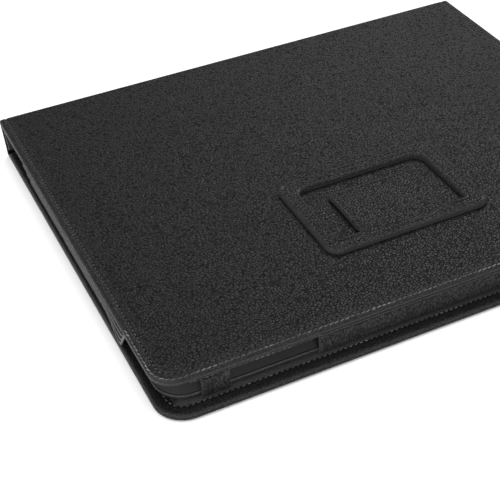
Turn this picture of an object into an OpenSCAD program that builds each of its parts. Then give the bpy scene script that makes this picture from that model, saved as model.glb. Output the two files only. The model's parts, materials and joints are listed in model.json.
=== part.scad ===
// Folio case for a tablet, closed and lying on its front cover.
// X runs along the fold, Y runs from the opening edge to the fold, and Z is up.
// The pieces are drawn from the back panel's corner and then centred over the resting face.

/* [Tablet] */
// Length of the tablet that slides into the sleeve
tablet_l = 241; // [195:1:290]
// Width of the tablet
tablet_w = 186; // [150:1:225]
// Thickness of the tablet
tablet_t = 8.8; // [7:0.2:12]
// Free play between the tablet and the sleeve, on each side
tablet_play = 1.1; // [0.6:0.1:2]
// Free play between the tablet's faces and the sleeve, in all
tablet_play_t = 0.2; // [0.1:0.1:1]

/* [Panels] */
// How far the panels reach past the tablet's ends
end_margin = 5.5; // [4:0.5:9]
// How far the back panel reaches past the tablet at the opening edge
near_margin = 3; // [3:0.1:5]
// From the tablet to the outer face of the fold
fold_margin = 11; // [10:0.5:16]
// How far the closed cover stands proud of the back panel at the opening edge
cover_shift = 5.3; // [3:0.1:6]
// Corner radius of the back panel
back_corner_r = 10; // [6:0.5:16]
// Corner radius of the front cover
cover_corner_r = 12.5; // [6:0.5:20]
// Thickness of the outer leather
skin_t = 0.8; // [0.6:0.1:1.2]
// Width of the leather turned over an edge
rim_t = 0.9; // [0.6:0.1:1.5]
// Thickness of the padding under the outer leather
pad_t = 0.5; // [0.3:0.1:1]
// Thickness of the stiffener in the back panel
back_board_t = 1; // [0.8:0.1:2]
// Thickness of the stiffener in the cover
cover_board_t = 1.3; // [0.8:0.1:2]
// Thickness of the soft lining
lining_t = 0.5; // [0.3:0.1:0.8]
// Width of the leather hem round the cover's lining
hem_w = 16; // [8:1:25]
// Play between the closed cover and the sleeve
cover_play = 0.4; // [0.3:0.1:1]

/* [Fold] */
// Thickness of the leather that crosses the fold
fold_skin_t = 0.9; // [0.6:0.1:1.2]
// Thickness of the lining strip inside the fold
fold_lining_t = 0.7; // [0.4:0.1:1]
// Play between each panel and the crease that it turns on
crease_play = 0.3; // [0.2:0.05:0.5]

/* [Sleeve] */
// How far the bezel frame stays inside the panel's ends
bezel_inset = 2.9; // [2:0.1:4]
// Width of the bezel frame round the screen
bezel_border = 17; // [10:1:25]
// Stiffener in the bezel frame
bezel_board_t = 0.9; // [0.6:0.1:1.5]
// Corner radius of the bezel frame
bezel_corner_r = 12; // [6:0.5:16]
// Corner radius of the screen window
window_r = 3; // [1:0.5:8]
// Thickness of the side walls
wall_t = 1.5; // [1:0.1:1.8]
// How far the walls' lower edges stay above the bezel frame's face
wall_lift = 0.2; // [0:0.1:0.5]
// From the opening edge to the start of the left wall
corner_gap = 34; // [20:1:45]
// From the end of the left wall to the sleeve's spine side
fold_gap = 24; // [15:1:35]
// Length of each open corner along the sleeve's long sides
far_gap = 30; // [20:1:40]
// How far the left wall's ends lean away from the open corners
wall_slant = 7; // [0:0.5:10]
// Thickness of the left wall
left_wall_t = 0.9; // [0.6:0.1:1.2]
// How far the left wall leans in, from the panel to the bezel frame
wall_lean = 1.7; // [0:0.1:1.8]

/* [Openings] */
// Start of the welt above the openings
welt_x = 13; // [10:0.5:16]
// Height of the welt above the openings
welt_h = 1.2; // [0.8:0.1:2]
// Start of the strap that divides the openings
strap_x = 17; // [16:0.5:24]
// Width of the strap
strap_w = 12; // [8:0.5:16]
// Thickness of the strap
strap_t = 1.1; // [0.8:0.1:1.4]
// Thickness of the strap where it is stitched behind the welt
strap_tuck_t = 0.8; // [0.5:0.1:1]
// How far the strap bows out past the welt
strap_bow = 0.8; // [0.4:0.1:1.2]
// Length of the button slot
slot_l = 37.5; // [20:0.5:60]

/* [Stand catch] */
// Distance of the catch from the panel's left end
catch_x = 90.5; // [60:0.5:110]
// Distance of the catch from the opening edge
catch_y = 34.8; // [20:0.1:50]
// Length of the catch frame
catch_l = 77.7; // [70:0.1:90]
// Width of the catch frame
catch_w = 52.5; // [48:0.1:70]
// Height of the catch frame
catch_h = 2.3; // [2:0.1:3]
// Width of the frame's left bar
bar_left = 7.5; // [6:0.1:9]
// Width of the frame's right bar
bar_right = 8.9; // [6:0.1:10]
// Width of the frame's near bar
bar_near = 7.9; // [6:0.1:10]
// Width of the frame's far bar
bar_far = 7.8; // [6:0.1:10]
// Outer corner radius of the catch frame
catch_r = 6; // [3:0.5:8]
// Inner corner radius at the catch frame's far side
catch_inner_r = 5; // [1:0.5:6]
// Channel between the frame and the tongue's left edge
tongue_gap_l = 10; // [5:0.1:12]
// Channel between the frame and the tongue's right edge
tongue_gap_r = 7.8; // [5:0.1:12]
// Channel between the frame and the tongue's free end
tongue_gap_far = 7.5; // [5:0.1:12]
// Thickness of the tongue
tongue_t = 1.4; // [1.2:0.1:1.7]
// Gap between the tongue and the back panel
tongue_lift = 0.3; // [0.2:0.1:0.5]
// Gap between the tongue's root and the near bar
root_play = 0.3; // [0.2:0.1:0.5]
// Corner radius at the tongue's free end
tongue_r = 3; // [1:0.5:6]

/* [Hidden] */
$fn = 64;
eps = 0.01;
far = 1000;

leather = "#2b2b2d";
suede = "#3c3c40";
card = "#9a8f7c";
foam = "#5a5a5e";

// Overall sizes, from the tablet outwards
case_l = tablet_l + 2 * end_margin;
case_w = near_margin + tablet_w + fold_margin;
back_t = skin_t + pad_t + back_board_t + lining_t;
cover_t = skin_t + pad_t + cover_board_t + lining_t;
bezel_t = skin_t + bezel_board_t + lining_t;

// Heights above the resting face
bezel_z = cover_t + cover_play;
bay_z = bezel_z + bezel_t;
back_z = bay_z + tablet_t + tablet_play_t;
top_z = back_z + back_t;

// Crease lines that the spine turns on, as [y, z]
crease_top = [case_w - back_t / 2, back_z + back_t / 2];
crease_low = [crease_top[0] - cover_shift, cover_t / 2];
spine_len = norm(crease_top - crease_low);
spine_angle = atan2(cover_shift, crease_top[1] - crease_low[1]);
back_end_y = crease_top[0] - back_t / 2 - crease_play;
cover_end_y = crease_low[0] - cover_t / 2 - crease_play;

// Sleeve outline
bezel_y = near_margin - tablet_play;
bezel_end_y = near_margin + tablet_w + tablet_play;
wall_z = bezel_z + wall_lift;
wall_h = back_z - wall_z;
slot_x = strap_x + strap_w;
near_wall_x = slot_x + slot_l;
long_wall_end_x = case_l - far_gap;
left_wall_end_y = bezel_end_y - fold_gap;

// Catch and tongue
catch_open_x = catch_x + bar_left;
catch_open_l = catch_l - bar_left - bar_right;
catch_open_y = catch_y + bar_near;
catch_open_w = catch_w - bar_near - bar_far;
tongue_x = catch_open_x + tongue_gap_l;
tongue_l = catch_open_l - tongue_gap_l - tongue_gap_r;
tongue_end_y = catch_open_y + catch_open_w - tongue_gap_far;
tongue_z = top_z + tongue_lift;
tongue_root_y = catch_open_y + root_play + tongue_t / 2;

// Moves a piece from the back panel's corner to the shared frame
module place() {
    translate([-case_l / 2, -(case_w - cover_shift) / 2, 0])
        children();
}

// Rectangle with its two near corners rounded
module near_rounded(x0, y0, x1, y1, r) {
    translate([x0 + r, y0])
        square([x1 - x0 - 2 * r, y1 - y0]);
    translate([x0, y0 + r])
        square([x1 - x0, y1 - y0 - r]);
    for (x = [x0 + r, x1 - r])
        translate([x, y0 + r])
            circle(r);
}

// Rectangle with all four corners rounded
module rounded(x0, y0, x1, y1, r) {
    translate([x0 + r, y0])
        square([x1 - x0 - 2 * r, y1 - y0]);
    translate([x0, y0 + r])
        square([x1 - x0, y1 - y0 - 2 * r]);
    for (x = [x0 + r, x1 - r], y = [y0 + r, y1 - r])
        translate([x, y])
            circle(r);
}

// Flat layer between two heights
module layer(z0, z1) {
    translate([0, 0, z0])
        linear_extrude(z1 - z0)
            children();
}

// Straight run along X of a profile drawn as [y, z]
module run_x(x0, x1) {
    translate([x0, 0, 0])
        rotate([90, 0, 90])
            linear_extrude(x1 - x0)
                children();
}

// Back panel, inset from its edges but not at the fold
module back_outline(inset) {
    near_rounded(inset, inset, case_l - inset, back_end_y, back_corner_r - inset);
}

// Front cover, inset from its edges but not at the fold
module cover_outline(inset) {
    near_rounded(inset, inset - cover_shift, case_l - inset, cover_end_y, cover_corner_r - inset);
}

// Inside of the cover's hem, where the lining lies
module cover_lining_outline() {
    rounded(hem_w, hem_w - cover_shift, case_l - hem_w, cover_end_y - hem_w, window_r);
}

// Bezel frame, grown or shrunk by the inset on both its outlines
module bezel_outline(inset) {
    border = bezel_border - inset;
    difference() {
        rounded(bezel_inset + inset, bezel_y + inset, case_l - bezel_inset - inset,
            bezel_end_y - inset, bezel_corner_r - inset);
        rounded(bezel_inset + border, bezel_y + border, case_l - bezel_inset - border,
            bezel_end_y - border, window_r + inset);
    }
}

// Catch frame, grown or shrunk by the inset on both its outlines
module catch_outline(inset) {
    open_r = catch_inner_r + inset;
    x0 = catch_open_x - inset;
    x1 = catch_open_x + catch_open_l + inset;
    y0 = catch_open_y - inset;
    y1 = catch_open_y + catch_open_w + inset;
    difference() {
        rounded(catch_x + inset, catch_y + inset, catch_x + catch_l - inset,
            catch_y + catch_w - inset, catch_r - inset);
        translate([x0, y0])
            square([x1 - x0, y1 - y0 - open_r]);
        translate([x0 + open_r, y0])
            square([x1 - x0 - 2 * open_r, y1 - y0]);
        for (x = [x0 + open_r, x1 - open_r])
            translate([x, y1 - open_r])
                circle(open_r);
    }
}

// Flat part of the tongue, inset from its three free edges
module tongue_outline(inset) {
    r = tongue_r - inset;
    x0 = tongue_x + inset;
    x1 = tongue_x + tongue_l - inset;
    y1 = tongue_end_y - inset;
    translate([x0, tongue_root_y])
        square([x1 - x0, y1 - tongue_root_y - r]);
    translate([x0 + r, tongue_root_y])
        square([x1 - x0 - 2 * r, y1 - tongue_root_y]);
    for (x = [x0 + r, x1 - r])
        translate([x, y1 - r])
            circle(r);
}

// Outer leather of the back panel, turned down over three edges
module back_skin() {
    color(leather)
        place()
            difference() {
                layer(back_z, top_z)
                    back_outline(0);
                layer(back_z - eps, top_z - skin_t)
                    back_outline(rim_t);
                translate([rim_t, back_end_y - back_corner_r, back_z - eps])
                    cube([case_l - 2 * rim_t, far, back_t - skin_t + eps]);
            }
}

module back_pad() {
    color(foam)
        place()
            layer(top_z - skin_t - pad_t, top_z - skin_t)
                back_outline(rim_t);
}

module back_board() {
    color(card)
        place()
            layer(back_z + lining_t, back_z + lining_t + back_board_t)
                back_outline(rim_t);
}

module back_lining() {
    color(suede)
        place()
            layer(back_z, back_z + lining_t)
                back_outline(rim_t);
}

// Wall along the opening edge, with the welt that runs on above the slot and the strap
module near_wall() {
    color(leather)
        place() {
            translate([near_wall_x, bezel_y - wall_t, wall_z])
                cube([long_wall_end_x - near_wall_x, wall_t, wall_h]);
            translate([welt_x, bezel_y - wall_t, back_z - welt_h])
                cube([near_wall_x - welt_x, wall_t, welt_h]);
        }
}

// Wall at the closed end, leaning in towards the bezel frame
module left_wall() {
    foot = bezel_inset - left_wall_t;
    head = foot - wall_lean;
    color(leather)
        place()
            difference() {
                translate([0, left_wall_end_y, 0])
                    rotate([90, 0, 0])
                        linear_extrude(left_wall_end_y - corner_gap)
                            polygon([
                                [foot, wall_z],
                                [foot + left_wall_t, wall_z],
                                [head + left_wall_t, back_z],
                                [head, back_z]
                            ]);
                translate([-left_wall_t, corner_gap, back_z])
                    rotate([90, 0, 90])
                        linear_extrude(far)
                            polygon([[-eps, 0], [wall_slant, -wall_h - eps], [-eps, -wall_h - eps]]);
                translate([-left_wall_t, left_wall_end_y, back_z])
                    rotate([90, 0, 90])
                        linear_extrude(far)
                            polygon([[eps, 0], [eps, -wall_h - eps], [-wall_slant, -wall_h - eps]]);
            }
}

// Wall on the spine side
module far_wall() {
    color(leather)
        place()
            translate([far_gap, bezel_end_y, wall_z])
                cube([long_wall_end_x - far_gap, wall_t, wall_h]);
}

// Strap that bows out from behind the welt and back to the bezel frame's edge
module corner_strap() {
    half_t = strap_t / 2;
    bow_y = bezel_y - wall_t - strap_bow;
    knee_z = back_z - welt_h - strap_t;
    foot_z = bezel_z + half_t;
    middle_z = (knee_z + bezel_z) / 2;
    color(leather)
        place()
            run_x(strap_x, strap_x + strap_w)
                polygon([
                    [bezel_y, back_z],
                    [bezel_y, back_z - welt_h],
                    [bow_y + half_t, knee_z],
                    [bow_y, middle_z],
                    [bow_y + half_t, foot_z],
                    [bezel_y, bezel_z],
                    [bezel_y, bezel_z + strap_t],
                    [bow_y + strap_t + half_t, foot_z + strap_t],
                    [bow_y + strap_t, middle_z],
                    [bow_y + strap_t + half_t, knee_z - half_t],
                    [bezel_y + strap_tuck_t, knee_z + half_t],
                    [bezel_y + strap_tuck_t, back_z]
                ]);
}

// Leather face of the bezel frame, wrapped round its outer edge and the screen window
module bezel_face() {
    color(leather)
        place()
            difference() {
                layer(bezel_z, bay_z)
                    bezel_outline(0);
                layer(bezel_z + skin_t, bay_z + eps)
                    bezel_outline(rim_t);
            }
}

module bezel_board() {
    color(card)
        place()
            layer(bezel_z + skin_t, bezel_z + skin_t + bezel_board_t)
                bezel_outline(rim_t);
}

module bezel_lining() {
    color(suede)
        place()
            layer(bay_z - lining_t, bay_z)
                bezel_outline(rim_t);
}

// Raised frame stitched to the back panel
module catch_frame() {
    color(leather)
        place()
            difference() {
                layer(top_z, top_z + catch_h)
                    catch_outline(0);
                layer(top_z - eps, top_z + catch_h - skin_t)
                    catch_outline(skin_t);
            }
}

module catch_board() {
    color(card)
        place()
            layer(top_z, top_z + catch_h - skin_t)
                catch_outline(skin_t);
}

// Layer inside the tongue, clear of its rolled root
module tongue_layer(z0, z1) {
    difference() {
        layer(z0, z1)
            tongue_outline(rim_t);
        translate([0, 0, tongue_z - far / 2])
            cube([far, tongue_root_y + tongue_t / 2, far]);
    }
}

// Tongue that the cover's edge tucks under, with a rolled root
module tongue_skin() {
    color(leather)
        place()
            difference() {
                union() {
                    layer(tongue_z, tongue_z + tongue_t)
                        tongue_outline(0);
                    run_x(tongue_x, tongue_x + tongue_l)
                        translate([tongue_root_y, tongue_z + tongue_t / 2])
                            circle(tongue_t / 2);
                }
                tongue_layer(tongue_z - eps, tongue_z + tongue_t / 2);
            }
}

module tongue_board() {
    color(card)
        place()
            tongue_layer(tongue_z + tongue_t / 4, tongue_z + tongue_t / 2);
}

module tongue_lining() {
    color(suede)
        place()
            tongue_layer(tongue_z, tongue_z + tongue_t / 4);
}

// Strip of the spine, from one side of its middle plane to the other
module spine_web(a0, a1, short_of) {
    translate(crease_low)
        rotate(-spine_angle)
            translate([a0, short_of])
                square([a1 - a0, spine_len - 2 * short_of]);
}

// Outer leather across the fold, rolled at the two creases
module spine_skin() {
    half = (fold_skin_t + fold_lining_t) / 2;
    color(leather)
        place()
            run_x(0, case_l) {
                translate(crease_top)
                    circle(back_t / 2);
                translate(crease_low)
                    circle(cover_t / 2);
                spine_web(half - fold_skin_t, half, 0);
            }
}

module spine_lining() {
    half = (fold_skin_t + fold_lining_t) / 2;
    color(suede)
        place()
            run_x(rim_t, case_l - rim_t)
                spine_web(-half, half - fold_skin_t, cover_t / 2 + crease_play);
}

// Outer leather of the front cover, turned in as a hem round the lining
module cover_skin() {
    color(leather)
        place()
            difference() {
                layer(0, cover_t)
                    cover_outline(0);
                layer(skin_t, cover_t - lining_t)
                    cover_outline(rim_t);
                translate([rim_t, cover_end_y - cover_corner_r, skin_t])
                    cube([case_l - 2 * rim_t, far, cover_t - lining_t - skin_t]);
                layer(skin_t, cover_t + eps)
                    cover_lining_outline();
            }
}

module cover_pad() {
    color(foam)
        place()
            layer(skin_t, skin_t + pad_t)
                cover_outline(rim_t);
}

module cover_board() {
    color(card)
        place()
            layer(skin_t + pad_t, cover_t - lining_t)
                cover_outline(rim_t);
}

module cover_lining() {
    color(suede)
        place()
            layer(cover_t - lining_t, cover_t)
                cover_lining_outline();
}

back_skin();
back_pad();
back_board();
back_lining();
near_wall();
left_wall();
far_wall();
corner_strap();
bezel_face();
bezel_board();
bezel_lining();
catch_frame();
catch_board();
tongue_skin();
tongue_board();
tongue_lining();
spine_skin();
spine_lining();
cover_skin();
cover_pad();
cover_board();
cover_lining();
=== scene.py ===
import json
import math

import bmesh
import bpy
from mathutils import Matrix, Vector, noise


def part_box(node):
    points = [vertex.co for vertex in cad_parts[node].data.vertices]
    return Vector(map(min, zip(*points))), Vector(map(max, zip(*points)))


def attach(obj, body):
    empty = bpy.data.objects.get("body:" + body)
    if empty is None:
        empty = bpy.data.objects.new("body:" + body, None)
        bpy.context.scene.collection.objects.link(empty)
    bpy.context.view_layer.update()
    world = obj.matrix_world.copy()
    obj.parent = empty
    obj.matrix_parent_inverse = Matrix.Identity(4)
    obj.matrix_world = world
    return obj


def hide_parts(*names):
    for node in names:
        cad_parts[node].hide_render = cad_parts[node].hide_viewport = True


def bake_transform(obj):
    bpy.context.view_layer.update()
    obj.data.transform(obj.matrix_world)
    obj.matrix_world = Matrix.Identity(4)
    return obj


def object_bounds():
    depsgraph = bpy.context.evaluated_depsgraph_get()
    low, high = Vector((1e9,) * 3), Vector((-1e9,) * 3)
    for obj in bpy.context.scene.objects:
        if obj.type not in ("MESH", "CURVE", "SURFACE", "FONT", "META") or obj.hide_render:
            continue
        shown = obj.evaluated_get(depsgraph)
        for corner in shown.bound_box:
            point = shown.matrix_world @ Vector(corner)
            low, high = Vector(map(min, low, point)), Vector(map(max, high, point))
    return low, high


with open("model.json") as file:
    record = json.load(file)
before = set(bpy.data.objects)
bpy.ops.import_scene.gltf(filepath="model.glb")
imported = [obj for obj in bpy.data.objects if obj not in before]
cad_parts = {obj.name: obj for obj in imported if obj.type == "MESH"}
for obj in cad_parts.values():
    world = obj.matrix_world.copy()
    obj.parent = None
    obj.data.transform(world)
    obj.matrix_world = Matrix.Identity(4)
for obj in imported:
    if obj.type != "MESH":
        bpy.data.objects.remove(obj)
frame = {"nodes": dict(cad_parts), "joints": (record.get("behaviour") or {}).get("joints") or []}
cadLo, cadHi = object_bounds()
print("frame loaded")

mm = 0.001
mergeGap = 0.002 * mm  # points nearer than this are one
cutGap = 0.001 * mm
onPlane = 0.01 * mm  # near enough to a plane to be on it
up = Vector((0, 0, 1))
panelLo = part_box("back_skin")[0]
joints = {joint["name"]: Vector(joint["pos_m"]) for joint in frame["joints"]}


def at(x, y, z=0.0):
    # millimetres from the panel's near left corner, height from the floor
    return Vector((panelLo.x + x * mm, panelLo.y + y * mm, z * mm))


def back(point):
    # the other way round: a place in millimetres
    return (point.x - panelLo.x) / mm, (point.y - panelLo.y) / mm, point.z / mm


def span(node):
    lo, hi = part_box(node)
    return back(lo) + back(hi)


def smooth(low, high, value):
    t = min(1.0, max(0.0, (value - low) / (high - low)))
    return t * t * (3 - 2 * t)


def wave(x, y, z, size, seed):
    # soft noise from -1 to 1, with bumps of about this size in millimetres
    return noise.noise(Vector((x / size + seed * 7.3, y / size - seed * 3.1, z / size + seed)))


def finished(name, bm, material, merge=True):
    if merge:
        bmesh.ops.remove_doubles(bm, verts=bm.verts[:], dist=mergeGap)
        bmesh.ops.recalc_face_normals(bm, faces=bm.faces[:])
    mesh = bpy.data.meshes.new(name)
    bm.to_mesh(mesh)
    bm.free()
    mesh.polygons.foreach_set("use_smooth", [True] * len(mesh.polygons))
    piece = bpy.data.objects.new(name, mesh)
    bpy.context.scene.collection.objects.link(piece)
    mesh.materials.append(material)
    return piece


def outline(bm, x0, y0, x1, y1, z, radii, segments=10):
    # flat face with rounded corners, from near left round to far left
    made = set(bm.faces)
    verts = [bm.verts.new(at(x, y, z)) for x, y in ((x0, y0), (x1, y0), (x1, y1), (x0, y1))]
    bm.faces.new(verts)
    for vert, radius in zip(verts, radii):
        if radius:
            bmesh.ops.bevel(bm, geom=[vert], offset=radius * mm, offset_type="OFFSET", affect="VERTICES",
                            segments=segments, profile=0.5, material=-1)
    return [face for face in bm.faces if face not in made]


def ringFaces(bm, outer, inner, z):
    # flat frame between two outlines, each (x0, y0, x1, y1, radii)
    edges = []
    for x0, y0, x1, y1, radii in (outer, inner):
        face = outline(bm, x0, y0, x1, y1, z, radii, 8)[0]
        edges += list(face.edges)
        bmesh.ops.delete(bm, geom=[face], context="FACES_ONLY")
    bmesh.ops.bridge_loops(bm, edges=edges)
    return bm.faces[:]


def pushUp(bm, faces, height):
    made = bmesh.ops.extrude_face_region(bm, geom=faces)["geom"]
    moved = [part for part in made if isinstance(part, bmesh.types.BMVert)]
    bmesh.ops.translate(bm, vec=(0, 0, height * mm), verts=moved)
    top = [part for part in made if isinstance(part, bmesh.types.BMFace)]
    # a face that is now inside the shape goes
    inside = [face for face in faces
              if face.is_valid and any(len(edge.link_faces) > 2 for edge in face.edges)]
    bmesh.ops.delete(bm, geom=inside, context="FACES_ONLY")
    bmesh.ops.recalc_face_normals(bm, faces=bm.faces[:])
    return top


def stepIn(bm, faces, steps):
    # each step goes inwards and up by so many millimetres
    for inwards, rise in steps:
        bmesh.ops.inset_region(bm, faces=faces, thickness=inwards * mm, depth=rise * mm,
                               use_even_offset=True, use_boundary=True)


def cutAlong(bm, point, normal, gap=cutGap, clear=False):
    bmesh.ops.bisect_plane(bm, geom=bm.verts[:] + bm.edges[:] + bm.faces[:], dist=gap,
                           plane_co=point, plane_no=normal, clear_outer=clear)


def cutOff(bm, point, normal):
    # takes away what lies past the plane
    cutAlong(bm, point, normal, clear=True)


def cutAcross(bm, axis, low, high, spacing):
    # cuts every face on a set of planes, so that a flat area can swell and dip
    count = max(1, round((high - low) / spacing))
    for step in range(1, count):
        place = low + (high - low) * step / count
        point = at(place, 0) if axis == 0 else at(0, place)
        cutAlong(bm, point, (1, 0, 0) if axis == 0 else (0, 1, 0), onPlane)


def addSolidify(piece, thickness, offset=-1.0, even=True):
    wall = piece.modifiers.new("wall", "SOLIDIFY")
    wall.thickness = thickness * mm
    wall.offset = offset
    wall.use_even_offset = even
    wall.use_quality_normals = even


def addSubsurf(piece, levels):
    fine = piece.modifiers.new("fine", "SUBSURF")
    fine.levels = levels
    fine.render_levels = levels


def startMaterial(name):
    material = bpy.data.materials.new(name)
    material.use_nodes = True
    tree = material.node_tree
    return material, tree.nodes, tree.links, tree.nodes["Principled BSDF"]


def addNode(nodes, kind, **settings):
    node = nodes.new(kind)
    for key, value in settings.items():
        if key in node.inputs.keys():
            node.inputs[key].default_value = value
        else:
            setattr(node, key.replace(" ", "_"), value)
    return node


def addRamp(nodes, stops):
    ramp = nodes.new("ShaderNodeValToRGB")
    elements = ramp.color_ramp.elements
    while len(elements) < len(stops):
        elements.new(0.5)
    for element, (place, shade) in zip(elements, stops):
        element.position = place
        element.color = (*shade, 1) if isinstance(shade, tuple) else (shade, shade, shade, 1)
    return ramp


def scaleSlot(nodes, links, source, factor):
    node = nodes.new("ShaderNodeMath")
    node.operation = "MULTIPLY"
    links.new(source, node.inputs[0])
    node.inputs[1].default_value = factor
    return node.outputs[0]


def multiplied(nodes, links, first, second):
    # one colour times another
    node = addNode(nodes, "ShaderNodeMix", data_type="RGBA", blend_type="MULTIPLY")
    node.inputs["Factor"].default_value = 1.0
    links.new(first, node.inputs["A"])
    links.new(second, node.inputs["B"])
    return node.outputs["Result"]


def spread(nodes, links, source, low, high, target):
    # runs a number from 0 to 1 over from low to high into a socket
    node = addNode(nodes, "ShaderNodeMapRange")
    node.inputs["To Min"].default_value = low
    node.inputs["To Max"].default_value = high
    links.new(source, node.inputs["Value"])
    links.new(node.outputs[0], target)


def makeLeather(name, look):
    material, nodes, links, shader = startMaterial(name)
    place = addNode(nodes, "ShaderNodeTexCoord").outputs["Object"]
    # the grain's cells are bent by a wider noise, so that they don't look regular
    bend = addNode(nodes, "ShaderNodeTexNoise", Scale=1 / (look["bendSize"] * mm), Detail=2.0)
    links.new(place, bend.inputs["Vector"])
    shifted = addNode(nodes, "ShaderNodeVectorMath", operation="MULTIPLY_ADD")
    links.new(bend.outputs["Color"], shifted.inputs[0])
    shifted.inputs[1].default_value = (look["bend"] * mm,) * 3
    links.new(place, shifted.inputs[2])
    stretched = addNode(nodes, "ShaderNodeMapping", Scale=look["stretch"])
    links.new(shifted.outputs[0], stretched.inputs["Vector"])
    cells = addNode(nodes, "ShaderNodeTexVoronoi", feature="DISTANCE_TO_EDGE",
                    Scale=1 / (look["cell"] * mm))
    links.new(stretched.outputs[0], cells.inputs["Vector"])
    pebble = addNode(nodes, "ShaderNodeMapRange", interpolation_type="SMOOTHSTEP")
    pebble.inputs["From Max"].default_value = look["crease"]
    links.new(cells.outputs["Distance"], pebble.inputs["Value"])
    domes = addNode(nodes, "ShaderNodeTexVoronoi", feature="SMOOTH_F1", Scale=1 / (look["cell"] * mm),
                    Smoothness=look["domeSoft"])
    links.new(stretched.outputs[0], domes.inputs["Vector"])
    pores = addNode(nodes, "ShaderNodeTexVoronoi", feature="DISTANCE_TO_EDGE",
                    Scale=1 / (look["pore"] * mm))
    links.new(shifted.outputs[0], pores.inputs["Vector"])
    patches = addNode(nodes, "ShaderNodeTexNoise", Scale=1 / (look["patch"] * mm), Detail=4.0,
                      Roughness=0.6)
    links.new(place, patches.inputs["Vector"])
    folds = addNode(nodes, "ShaderNodeTexNoise", Scale=1 / (look["fold"] * mm), Detail=3.0,
                    Roughness=0.55)
    links.new(stretched.outputs[0], folds.inputs["Vector"])
    # creases are darker and domes lighter, partly the grain's own tone and partly painted shade in the
    # creases; sharp edges are lighter still, a painted highlight with some edge wear
    tone = addNode(nodes, "ShaderNodeMix", data_type="RGBA")
    tone.inputs["A"].default_value = (*look["dark"], 1)
    tone.inputs["B"].default_value = (*look["light"], 1)
    links.new(pebble.outputs[0], tone.inputs["Factor"])
    mottle = addRamp(nodes, [(look["mottleAt"][0], look["mottle"]), (look["mottleAt"][1], 1.0)])
    links.new(patches.outputs["Fac"], mottle.inputs["Fac"])
    mixed = multiplied(nodes, links, tone.outputs["Result"], mottle.outputs["Color"])
    # painted shade: the hollows of the wide folds are darkened in colour and in shine
    hollowShade = addRamp(nodes, [(look["hollowAt"][0], look["hollowShade"]), (look["hollowAt"][1], 1.0)])
    links.new(folds.outputs["Fac"], hollowShade.inputs["Fac"])
    sunk = multiplied(nodes, links, mixed, hollowShade.outputs["Color"])
    shape = addNode(nodes, "ShaderNodeNewGeometry")
    edge = addRamp(nodes, [(look["edge"][0], 0.0), (look["edge"][1], 1.0)])
    links.new(shape.outputs["Pointiness"], edge.inputs["Fac"])
    # painted shade: concave places where the surface turns sharply are darkened
    groove = addRamp(nodes, [(look["groove"][0], look["sunk"]), (look["groove"][1], 1.0)])
    links.new(shape.outputs["Pointiness"], groove.inputs["Fac"])
    grooveShaded = multiplied(nodes, links, sunk, groove.outputs["Color"])
    # painted highlight along sharp edges and ridges, partly edge wear
    wearAndHighlight = addNode(nodes, "ShaderNodeMix", data_type="RGBA")
    links.new(scaleSlot(nodes, links, edge.outputs["Color"], look["highlightAndWearStrength"]), wearAndHighlight.inputs["Factor"])
    links.new(grooveShaded, wearAndHighlight.inputs["A"])
    wearAndHighlight.inputs["B"].default_value = (*look["wearAndHighlight"], 1)
    links.new(wearAndHighlight.outputs["Result"], shader.inputs["Base Color"])
    spread(nodes, links, pebble.outputs[0], look["roughHigh"], look["roughLow"], shader.inputs["Roughness"])
    # creases and hollows hardly shine; the grooves' shine is cut as well, as painted shade
    shine = addNode(nodes, "ShaderNodeMath", operation="MULTIPLY")
    links.new(pebble.outputs[0], shine.inputs[0])
    links.new(hollowShade.outputs["Color"], shine.inputs[1])
    shade = addNode(nodes, "ShaderNodeMath", operation="MULTIPLY")
    links.new(shine.outputs[0], shade.inputs[0])
    links.new(groove.outputs["Color"], shade.inputs[1])
    spread(nodes, links, shade.outputs[0], look["dullSpecular"], look["specular"],
           shader.inputs["Specular IOR Level"])
    # bumps from wide to fine, each with its own depth
    wideDepth, grainDepth, domeDepth, fineDepth = (depth * mm for depth in look["depths"])
    wide = addNode(nodes, "ShaderNodeBump", Strength=look["relief"], Distance=wideDepth)
    links.new(folds.outputs["Fac"], wide.inputs["Height"])
    first = addNode(nodes, "ShaderNodeBump", Strength=look["grain"], Distance=grainDepth)
    links.new(pebble.outputs[0], first.inputs["Height"])
    links.new(wide.outputs["Normal"], first.inputs["Normal"])
    second = addNode(nodes, "ShaderNodeBump", Strength=look["dome"], Distance=domeDepth, invert=True)
    links.new(domes.outputs["Distance"], second.inputs["Height"])
    links.new(first.outputs["Normal"], second.inputs["Normal"])
    third = addNode(nodes, "ShaderNodeBump", Strength=look["fine"], Distance=fineDepth)
    links.new(pores.outputs["Distance"], third.inputs["Height"])
    links.new(second.outputs["Normal"], third.inputs["Normal"])
    links.new(third.outputs["Normal"], shader.inputs["Normal"])
    return material


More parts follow.
